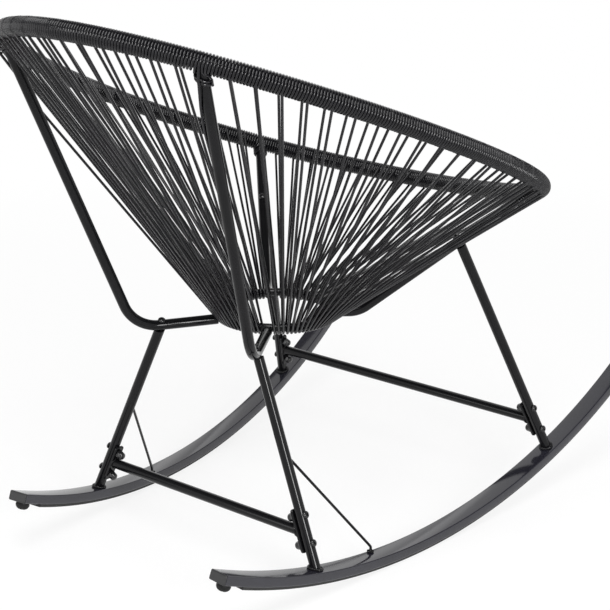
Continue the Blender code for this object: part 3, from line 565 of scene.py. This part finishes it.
class Bight:
    """The loop of one pair of strings round the seat ring."""

    def __init__(self, angle, rim_middle):
        self.centre = RING_CENTRE + Vector((math.sin(angle), -math.cos(angle), 0)) * RING_RADIUS
        self.way = Vector((math.cos(angle), math.sin(angle), 0))
        to_rim = rim_middle - self.centre
        self.to_rim = (to_rim - self.way * to_rim.dot(self.way)).normalized()
        self.over = self.way.cross(self.to_rim)
        self.radius = RING_TUBE_RADIUS + TOUCH_GAP + CORD_RADIUS

    def side_point(self, sign):
        return self.centre + self.over * (sign * self.radius)

    def tangent_angle(self, point, sign):
        offset = point - self.centre
        flat = offset - self.way * offset.dot(self.way)
        middle = math.atan2(flat.dot(self.over), flat.dot(self.to_rim))
        return middle + sign * math.acos(self.radius / flat.length)

    def path(self, first, last):
        """From a string that comes down on one side of the ring to one that goes up on the other."""
        start = self.tangent_angle(first, HAND)
        end = self.tangent_angle(last, -HAND) + HAND * 2 * math.pi
        points = []
        for step in range(BIGHT_POINTS + 1):
            angle = start + (end - start) * step / BIGHT_POINTS
            spoke = self.to_rim * math.cos(angle) + self.over * math.sin(angle)
            points.append(self.centre + spoke * self.radius)
        return points


class Pair:
    """Two strings: where they leave the rim and come back to it, and how they pass the seat ring.
    A pair at a joint has the seat tube between its strings."""

    def __init__(self, rim, middle, spread, ring_angle, tube=None):
        self.leave = middle - spread / 2
        self.arrive = middle + spread / 2
        self.bight = Bight(ring_angle, rim.at(middle)[0])
        self.tube = tube
        source = self.bight.side_point(-HAND) if tube is None else tube.over_lashing(0)
        self.leave_angle = rim.tangent_angle(self.leave, self.bight.side_point(HAND), True)
        self.arrive_angle = rim.tangent_angle(self.arrive, source, False)

    def path(self, start, end):
        """The cord from the rim to the seat ring and back."""
        if self.tube is None:
            return self.bight.path(start, end)
        up = self.tube.crossing(self.bight.side_point(-HAND))
        return [*self.bight.path(start, up[0]), *up]


class Winding:
    """The turns of cord on the rim, fitted to the strings that leave it."""

    def __init__(self, rim):
        self.rim = rim
        self.pairs = []
        self.runs = {}
        whole = 2 * math.pi
        stretches = (
            ("front", "front_right", "front_left", -FRONT_ARM_ANGLE, FRONT_ARM_ANGLE, 2),
            ("left", "front_left", "rear_left", FRONT_ARM_ANGLE, REAR_ARM_ANGLE, 3),
            ("rear", "rear_left", "rear_right", REAR_ARM_ANGLE, whole - REAR_ARM_ANGLE, 2),
            ("right", "rear_right", "front_right", whole - REAR_ARM_ANGLE, whole - FRONT_ARM_ANGLE, 3),
        )
        for name, first, last, ring_start, ring_end, groups in stretches:
            start = rim.joints[first]
            length = (rim.joints[last] - start) % rim.length
            self.add_stretch(name, rim.tubes[last], start, length, ring_start, ring_end, groups)
        self.marks = []
        for pair in self.pairs:
            self.add_mark(pair.leave, pair.leave_angle)
            self.add_mark(pair.arrive, pair.arrive_angle)
        self.add_mark(self.pairs[0].leave + rim.length, self.pairs[0].leave_angle)
        self.distances = [distance for distance, _ in self.marks]

    def add_stretch(self, name, tube, start, length, ring_start, ring_end, groups):
        """The pairs of one stretch of the rim. Its last pair straddles the seat tube where it ends."""
        span = length - 2 * STRING_MARGIN
        count = 2 * round(span / PAIR_PITCH / 2)
        spread = (round(PAIR_SPREAD / WINDING_PITCH - 0.5) + 0.5) * WINDING_PITCH
        ring_half = math.asin((CLASP_RADIUS + STRING_TO_ARM) / RING_RADIUS)
        ring_step = (ring_end - ring_start - 2 * ring_half) / count
        ring_first = ring_start + ring_half
        firsts = [len(self.pairs) + round(count * group / groups) for group in range(groups)]
        firsts.append(len(self.pairs) + count + 1)
        for group in range(groups):
            self.runs[f"cord_{name}_{group + 1}"] = (firsts[group], firsts[group + 1])
        for index in range(count):
            middle = start + STRING_MARGIN + span * (index + 0.5) / count
            self.pairs.append(Pair(self.rim, middle, spread, ring_first + ring_step * index))
        middle = start + length + JOINT_PAIR
        self.pairs.append(Pair(self.rim, middle, WINDING_PITCH / 2, ring_first + ring_step * count, tube))

    def add_mark(self, distance, angle):
        """Note the turn's angle at a string, counted in whole turns from the string before."""
        if self.marks:
            last_distance, last_angle = self.marks[-1]
            wanted = last_angle + HAND * 2 * math.pi * (distance - last_distance) / WINDING_PITCH
            angle += 2 * math.pi * round((wanted - angle) / (2 * math.pi))
        self.marks.append((distance, angle))

    def angle_at(self, distance):
        index = min(max(bisect.bisect_left(self.distances, distance), 1), len(self.marks) - 1)
        (before, angle), (after, next_angle) = self.marks[index - 1:index + 1]
        if distance < before:
            return angle + HAND * 2 * math.pi * (distance - before) / WINDING_PITCH
        return angle + (next_angle - angle) * (distance - before) / (after - before)

    def turns(self, start, end):
        """Cord points on the rim from one distance to another."""
        count = max(2, round((end - start) / WINDING_PITCH * POINTS_PER_TURN))
        points = []
        for step in range(count + 1):
            distance = start + (end - start) * step / count
            points.append(self.rim.on_turn(distance, self.angle_at(distance)))
        return points

    def boundary(self, index):
        """Where the run that starts with a pair begins: midway from the string before."""
        if index == len(self.pairs):
            return self.boundary(0) + self.rim.length
        before = self.pairs[index - 1].arrive - (self.rim.length if index == 0 else 0)
        return (before + self.pairs[index].leave) / 2

    def strands(self, first, after):
        """The cord of a run of pairs: one long strand that winds and strings, and the turns between."""
        strand = self.turns(self.boundary(first), self.pairs[first].leave)
        fillers = []
        for index in range(first, after):
            pair = self.pairs[index]
            strand.extend(pair.path(strand[-1], self.rim.on_turn(pair.arrive, self.angle_at(pair.arrive))))
            if pair.tube is None:
                fillers.append(self.turns(pair.leave, pair.arrive))
            following = self.pairs[index + 1].leave if index + 1 < after else self.boundary(after)
            strand.extend(self.turns(pair.arrive, following))
        return [strand, *fillers]


def build_cords(material, tubes):
    """Wound and strung cord, in the same runs as the frame's."""
    winding = Winding(Rim(tubes))
    cord_length = 0
    for node, (first, after) in winding.runs.items():
        shape = Shape()
        for strand in winding.strands(first, after):
            shape.tube(strand, CORD_RADIUS, CORD_SIDES)
            cord_length += sum((b - a).length for a, b in zip(strand, strand[1:]))
        shape.piece(f"strung_{node}", material, "cord", node, sharp=CORD_SHARP_ANGLE)
    return cord_length


def build_lashing(material, name, tube):
    """A few turns of cord round the top of a seat tube, close under the winding."""
    path = []
    for index in range(LASHING_TURNS * POINTS_PER_TURN + 1):
        turn = index / POINTS_PER_TURN
        angle = 2 * math.pi * turn
        path.append(tube.clasp(tube.lashing_depth(angle) + LASHING_PITCH * turn, angle))
    shape = Shape().tube(path, CORD_RADIUS, LASHING_SIDES)
    shape.piece(f"wound_lashing_{name}", material, "cord", f"lashing_{name}", sharp=CORD_SHARP_ANGLE)


def build_rings(material):
    """Rim hoop under the winding, and the seat ring."""
    hoop = [rim_point(2 * math.pi * step / HOOP_STATIONS) for step in range(HOOP_STATIONS)]
    hoop_shape = Shape().tube(hoop, HOOP_RADIUS, RING_SIDES, closed=True)
    hoop_shape.piece("bent_rim_hoop", material, "frame", "rim_hoop")
    turn = [2 * math.pi * step / RING_STATIONS for step in range(RING_STATIONS)]
    ring = [RING_CENTRE + Vector((math.sin(a), -math.cos(a), 0)) * RING_RADIUS for a in turn]
    ring_shape = Shape().tube(ring, RING_TUBE_RADIUS, RING_SIDES, closed=True)
    ring_shape.piece("bent_seat_ring", material, "frame", "seat_ring")


def build_post(material, name, post):
    """A post with its weld on the rocker."""
    path = [post.foot, post.foot + post.up * 0.004, post.top]
    rows = carried(path, circle(TUBE_RADIUS, TUBE_SIDES), post.out)
    foot = post.foot + post.foot_normal * TOUCH_GAP
    rows[0] = cut_to_plane(rows[0], post.up, foot, post.foot_normal)
    rows[-1] = cut_to_plane(rows[-1], post.up, post.top, post.seat_normal)
    shape = Shape().skin(rows)
    weld_row = carried(path, circle(TUBE_RADIUS + POST_WELD_OUT, WELD_STATIONS), post.out)[0]
    level = foot + post.foot_normal * POST_WELD_LIFT
    shape.weld(cut_to_plane(weld_row, post.up, level, post.foot_normal), POST_WELD_RADIUS, 10)
    shape.piece(f"coated_post_{name}", material, "frame", f"post_{name}")


def build_crossbar(material, end, posts):
    """A crossbar with a plate welded on each end."""
    first, last = [post.at(BAR_FROM_FOOT) - post.out * PLATE_MIDDLE for post in posts.values()]
    rows = carried([first, last], circle(TUBE_RADIUS, TUBE_SIDES), UP)
    for index, (middle, post) in enumerate(zip((first, last), posts.values())):
        rows[index] = cut_to_plane(rows[index], LEFT, middle, post.out)
    shape = Shape().skin(rows)
    for middle, post in zip((first, last), posts.values()):
        width_way = post.out.cross(post.up)
        rings = []
        for inset, place in ((PLATE_EDGE, -1), (0, -0.6), (0, 0.6), (PLATE_EDGE, 1)):
            outline = rounded_box(PLATE_WIDTH - 2 * inset, PLATE_LENGTH - 2 * inset, PLATE_CORNER - inset)
            base = middle + post.out * (place * PLATE_THICKNESS / 2)
            rings.append([base + width_way * u + post.up * v for u, v in outline])
        shape.skin(rings)
        weld_row = carried([first, last], circle(TUBE_RADIUS + BAR_WELD_OUT, WELD_STATIONS), UP)[0]
        face = middle - post.out * (PLATE_THICKNESS / 2 + BAR_WELD_OUT)
        shape.weld(cut_to_plane(weld_row, LEFT, face, post.out), BAR_WELD_RADIUS, 8)
    shape.piece(f"coated_{end}_crossbar", material, "frame", f"{end}_crossbar")


def head_profile():
    """Button head with a hexagon socket, from the shank's side."""
    radius = HEAD_RADIUS * HEAD_FULLNESS
    socket = radius * 0.42
    return [
        (radius * 0.96, 0, 0),
        (radius, HEAD_HEIGHT * 0.08, 0),
        (radius, HEAD_HEIGHT * 0.30, 0),
        (radius * 0.93, HEAD_HEIGHT * 0.58, 0),
        (radius * 0.78, HEAD_HEIGHT * 0.82, 0),
        (radius * 0.56, HEAD_HEIGHT * 0.97, 0),
        (socket * 1.08, HEAD_HEIGHT, 0.9),
        (socket, HEAD_HEIGHT * 0.96, 1),
        (socket, HEAD_HEIGHT * 0.45, 1),
    ]


def add_bolt(shape, seat, axis, length):
    shape.turned(seat, axis, [(BOLT_RADIUS, -length, 0), (BOLT_RADIUS, 0.0002, 0)], ROD_SIDES)
    shape.turned(seat, axis, head_profile(), HEXAGON_SIDES)


def add_cap_nut(shape, seat, axis):
    radius = NUT_RADIUS * NUT_FULLNESS
    profile = [
        (radius * 0.97, 0, 0.6),
        (radius * 1.06, NUT_HEIGHT * 0.05, 1),
        (radius * 1.06, NUT_HEIGHT * 0.46, 1),
        (radius * 0.97, NUT_HEIGHT * 0.53, 0.4),
        (radius * 0.93, NUT_HEIGHT * 0.56, 0),
        (radius * 0.91, NUT_HEIGHT * 0.68, 0),
        (radius * 0.80, NUT_HEIGHT * 0.82, 0),
        (radius * 0.58, NUT_HEIGHT * 0.93, 0),
        (radius * 0.30, NUT_HEIGHT * 0.99, 0),
        (radius * 0.08, NUT_HEIGHT, 0),
    ]
    shape.turned(seat, axis, profile, HEXAGON_SIDES)


def build_fasteners(material, name, post):
    """Seat bolt, crossbar bolts and cap nuts of one post."""
    head = post.seat + post.seat_normal * (TUBE_RADIUS + TOUCH_GAP)
    shape = Shape()
    add_bolt(shape, head, post.seat_normal, 2 * (TUBE_RADIUS + TOUCH_GAP) + SEAT_BOLT_IN_POST)
    shape.piece(f"finished_seat_bolt_{name}", material, "fastener", f"seat_bolt_{name}")
    for number, way in ((1, -1), (2, 1)):
        point = post.at(BAR_FROM_FOOT + way * BAR_BOLT_SPACING / 2)
        bolt = Shape()
        add_bolt(bolt, point + post.out * (TUBE_RADIUS + TOUCH_GAP), post.out, 2 * TUBE_RADIUS)
        bolt.piece(f"finished_bolt_{name}_{number}", material, "fastener", f"crossbar_bolt_{name}_{number}")
        nut = Shape()
        add_cap_nut(nut, point - post.out * (PLATE_FACE + TOUCH_GAP), -post.out)
        nut.piece(f"finished_cap_nut_{name}_{number}", material, "fastener", f"cap_nut_{name}_{number}")


def build_rocker(materials, name, rocker):
    """Rocker tube with its plugs, wear strip and bumper."""
    path = rocker.rail()
    outline = rounded_box(RAIL_WIDTH, RAIL_HEIGHT, RAIL_CORNER)
    shape = Shape().sweep(path, outline, rocker.across)
    shape.piece(f"bent_rocker_{name}", materials["rocker"], "frame", f"rocker_{name}")
    for end, place, way in (
        ("rear", path[0], -rocker.way(REAR_ARC)),
        ("front", path[-1], rocker.way(FRONT_ARC)),
    ):
        rows = []
        up = way.cross(rocker.across)
        for inset, height in PLUG_PROFILE:
            plug = rounded_box(RAIL_WIDTH - 2 * inset, RAIL_HEIGHT - 2 * inset, RAIL_CORNER)
            base = place + way * height
            rows.append([base + rocker.across * u + up * v for u, v in plug])
        plug_shape = Shape().skin(rows)
        plug_shape.piece(
            f"moulded_{end}_plug_{name}", materials["plug"], "plug_plastic", f"{end}_plug_{name}")
    half, deep, cut = STRIP_WIDTH / 2, STRIP_HEIGHT / 2, STRIP_CHAMFER
    right = [(half, deep), (half, cut - deep), (half - cut, -deep)]
    strip = [*right, *[(-u, v) for u, v in reversed(right)]]
    strip = [(u, v * rocker.side) for u, v in strip]
    strip_path = rocker.arc(FLOOR_RADIUS - deep, REAR_ARC + STRIP_INSET, FRONT_ARC - STRIP_INSET)
    strip_shape = Shape().sweep(strip_path, strip, rocker.across)
    strip_shape.piece(f"rubber_wear_strip_{name}", materials["strip"], "rubber", f"wear_strip_{name}")
    down = -rocker.normal(REAR_ARC)
    seat = path[0] + rocker.way(REAR_ARC) * BUMPER_FROM_END + down * (RAIL_HEIGHT / 2)
    profile = [
        (BUMPER_RADIUS * 0.90, 0, 0),
        (BUMPER_RADIUS * 0.98, BUMPER_HEIGHT * 0.10, 0),
        (BUMPER_RADIUS * 1.03, BUMPER_HEIGHT * 0.26, 0),
        (BUMPER_RADIUS * 1.03, BUMPER_HEIGHT * 0.40, 0),
        (BUMPER_RADIUS * 0.98, BUMPER_HEIGHT * 0.56, 0),
        (BUMPER_RADIUS * 0.88, BUMPER_HEIGHT * 0.72, 0),
        (BUMPER_RADIUS * 0.72, BUMPER_HEIGHT * 0.86, 0),
        (BUMPER_RADIUS * 0.50, BUMPER_HEIGHT * 0.96, 0),
        (BUMPER_RADIUS * 0.24, BUMPER_HEIGHT, 0),
    ]
    bumper = Shape().turned(seat, down, profile)
    bumper.piece(f"rubber_bumper_{name}", materials["rubber"], "rubber", f"bumper_{name}")


def build_stay(material, name, rocker, post):
    """Thin stay rod from a rear post down to its foot on the rocker."""
    normal = rocker.normal(ROD_FOOT_ANGLE)
    foot = rocker.at(ROD_FOOT_ANGLE, RAIL_TOP) + normal * TOUCH_GAP - rocker.across * ROD_FOOT_INBOARD
    knee = foot + normal * ROD_FOOT_HEIGHT
    middle = post.at((post.top - post.foot).length * ROD_UP_POST)
    way = (knee - middle).normalized()
    start = middle + way * TUBE_RADIUS
    bend = rounded_corner(start, knee, foot, ROD_BEND_RADIUS)
    shape = Shape().tube(bend, ROD_RADIUS, ROD_SIDES)
    profile = [
        (ROD_FOOT_RADIUS, 0, 0),
        (ROD_FOOT_RADIUS, 0.0012, 0),
        (ROD_FOOT_RADIUS * 0.86, 0.0024, 0),
        (ROD_RADIUS * 1.15, 0.0034, 0),
        (ROD_RADIUS * 0.9, 0.0042, 0),
    ]
    shape.turned(foot, normal, profile)
    ahead = rocker.way(ROD_FOOT_ANGLE)
    level = foot + normal * ROD_WELD_LIFT
    bead = [level + (rocker.across * u + ahead * v) for u, v in circle(ROD_FOOT_RADIUS, WELD_STATIONS)]
    shape.weld(bead, ROD_WELD_RADIUS, 8)
    shape.piece(f"bent_stay_rod_{name}", material, "frame", f"stay_rod_{name}")


def add_node(nodes, kind, **values):
    """A shader node with some of its inputs set. An input's name is written with _ for a space."""
    node = nodes.new(kind)
    for name, value in values.items():
        node.inputs[name.replace("_", " ")].default_value = value
    return node


def set_ramp(ramp, *stops):
    for element, (position, colour) in zip(ramp.color_ramp.elements, stops):
        element.position = position
        element.color = (*colour, 1)


def make_material(name, colour, variation, roughness, grain, depth, specular):
    """A surface with uneven colour and gloss and a fine raised grain."""
    material = bpy.data.materials.new(name)
    material.use_nodes = True
    nodes = material.node_tree.nodes
    links = material.node_tree.links
    shader = nodes["Principled BSDF"]
    shader.inputs["Specular IOR Level"].default_value = specular
    place = nodes.new("ShaderNodeTexCoord")
    broad = add_node(nodes, "ShaderNodeTexNoise", Scale=22, Detail=6)
    fine = add_node(nodes, "ShaderNodeTexNoise", Scale=grain, Detail=3)
    tint = nodes.new("ShaderNodeValToRGB")
    set_ramp(tint, (0.30, colour), (0.75, [value * variation for value in colour]))
    gloss = add_node(
        nodes,
        "ShaderNodeMapRange",
        From_Min=0.3,
        From_Max=0.7,
        To_Min=roughness * 0.9,
        To_Max=roughness * 1.15,
    )
    bump = add_node(nodes, "ShaderNodeBump", Strength=0.35, Distance=depth)
    for texture in (broad, fine):
        links.new(place.outputs["Object"], texture.inputs["Vector"])
    links.new(broad.outputs["Fac"], tint.inputs["Fac"])
    links.new(tint.outputs["Color"], shader.inputs["Base Color"])
    links.new(broad.outputs["Fac"], gloss.inputs["Value"])
    links.new(gloss.outputs["Result"], shader.inputs["Roughness"])
    links.new(fine.outputs["Fac"], bump.inputs["Height"])
    links.new(bump.outputs["Normal"], shader.inputs["Normal"])
    return material


def build_chair(materials):
    tubes = {}
    for end in ("rear", "front"):
        for name, side in SIDES.items():
            tubes[f"{end}_{name}"] = SeatTube(end, side)
    length = build_cords(materials["cord"], tubes)
    print(f"cord on the rim and in the strings: {length:.1f} m")
    build_rings(materials["frame"])
    rockers = {name: Rocker(side) for name, side in SIDES.items()}
    for name, rocker in rockers.items():
        build_rocker(materials, name, rocker)
    for end in ("rear", "front"):
        posts = {name: Post(end, rockers[name], tubes[f"{end}_{name}"]) for name in SIDES}
        build_crossbar(materials["frame"], end, posts)
        for side, post in posts.items():
            name = f"{end}_{side}"
            tube = tubes[name]
            shape = Shape().tube(tube.path, TUBE_RADIUS)
            shape.piece(f"bent_seat_tube_{name}", materials["frame"], "frame", f"seat_tube_{name}")
            build_lashing(materials["cord"], name, tube)
            build_post(materials["frame"], name, post)
            build_fasteners(materials["fastener"], name, post)
            if end == "rear":
                build_stay(materials["frame"], side, rockers[side], post)


def add_camera():
    data = bpy.data.cameras.new("camera")
    data.sensor_width = 36
    data.lens = CAMERA_LENS
    camera = bpy.data.objects.new("camera", data)
    camera.location = CAMERA_PLACE
    camera.rotation_mode = "QUATERNION"
    camera.rotation_quaternion = CAMERA_AIM.to_track_quat("-Z", "Y")
    bpy.context.scene.collection.objects.link(camera)
    bpy.context.scene.camera = camera


def add_lamp(name, place, width, height, power):
    data = bpy.data.lights.new(name, "AREA")
    data.shape = "RECTANGLE"
    data.size = width
    data.size_y = height
    data.energy = power
    lamp = bpy.data.objects.new(name, data)
    lamp.location = place
    lamp.visible_camera = False
    lamp.rotation_mode = "QUATERNION"
    lamp.rotation_quaternion = (LAMP_TARGET - Vector(place)).to_track_quat("-Z", "Y")
    bpy.context.scene.collection.objects.link(lamp)


def add_floor():
    """A pale floor that reads as the white background, and keeps the chair's shadow close to it."""
    mesh = bpy.data.meshes.new("floor")
    corners = [(u * FLOOR_REACH, v * FLOOR_REACH, 0) for u, v in ((-1, -1), (1, -1), (1, 1), (-1, 1))]
    mesh.from_pydata(corners, [], [(0, 1, 2, 3)])
    floor = bpy.data.objects.new("floor", mesh)
    floor.location.z = -FLOOR_DROP
    bpy.context.scene.collection.objects.link(floor)
    material = bpy.data.materials.new("pale_floor")
    material.use_nodes = True
    nodes = material.node_tree.nodes
    links = material.node_tree.links
    shader = nodes["Principled BSDF"]
    shader.inputs["Base Color"].default_value = (0.86, 0.86, 0.86, 1)
    shader.inputs["Roughness"].default_value = 0.9
    glow = add_node(nodes, "ShaderNodeEmission", Color=(1, 1, 1, 1))
    rays = nodes.new("ShaderNodeLightPath")
    seen = nodes.new("ShaderNodeMath")
    mirrored = nodes.new("ShaderNodeMath")
    amount = nodes.new("ShaderNodeMath")
    amount.operation = "MULTIPLY"
    place = nodes.new("ShaderNodeTexCoord")
    away = nodes.new("ShaderNodeVectorMath")
    away.operation = "LENGTH"
    share = add_node(nodes, "ShaderNodeMapRange", From_Min=0.5, From_Max=2.2, To_Min=0.82, To_Max=1)
    links.new(place.outputs["Object"], away.inputs[0])
    links.new(away.outputs["Value"], share.inputs["Value"])
    links.new(share.outputs["Result"], amount.inputs[1])
    mix = nodes.new("ShaderNodeMixShader")
    links.new(rays.outputs["Is Glossy Ray"], mirrored.inputs[0])
    links.new(rays.outputs["Is Transmission Ray"], mirrored.inputs[1])
    links.new(rays.outputs["Is Camera Ray"], seen.inputs[0])
    links.new(mirrored.outputs["Value"], seen.inputs[1])
    links.new(seen.outputs["Value"], amount.inputs[0])
    links.new(amount.outputs["Value"], mix.inputs["Fac"])
    links.new(shader.outputs["BSDF"], mix.inputs[1])
    links.new(glow.outputs["Emission"], mix.inputs[2])
    links.new(mix.outputs["Shader"], nodes["Material Output"].inputs["Surface"])
    mesh.materials.append(material)


def add_sky():
    """Studio surroundings: pale walls all round, and a dim ceiling."""
    world = bpy.data.worlds.new("studio")
    bpy.context.scene.world = world
    world.use_nodes = True
    nodes = world.node_tree.nodes
    links = world.node_tree.links
    place = nodes.new("ShaderNodeTexCoord")
    parts = nodes.new("ShaderNodeSeparateXYZ")
    walls = nodes.new("ShaderNodeValToRGB")
    set_ramp(walls, (0.36, (1, 1, 1)), (0.62, (0.16, 0.16, 0.16)))
    links.new(place.outputs["Generated"], parts.inputs["Vector"])
    links.new(parts.outputs["Z"], walls.inputs["Fac"])
    links.new(walls.outputs["Color"], nodes["Background"].inputs["Color"])


def add_studio():
    add_sky()
    for name, values in LAMPS.items():
        add_lamp(name, *values)
    add_floor()
    bpy.context.scene.view_settings.view_transform = "Standard"


build_chair({key: make_material(*values) for key, values in SURFACES.items()})
add_camera()
add_studio()
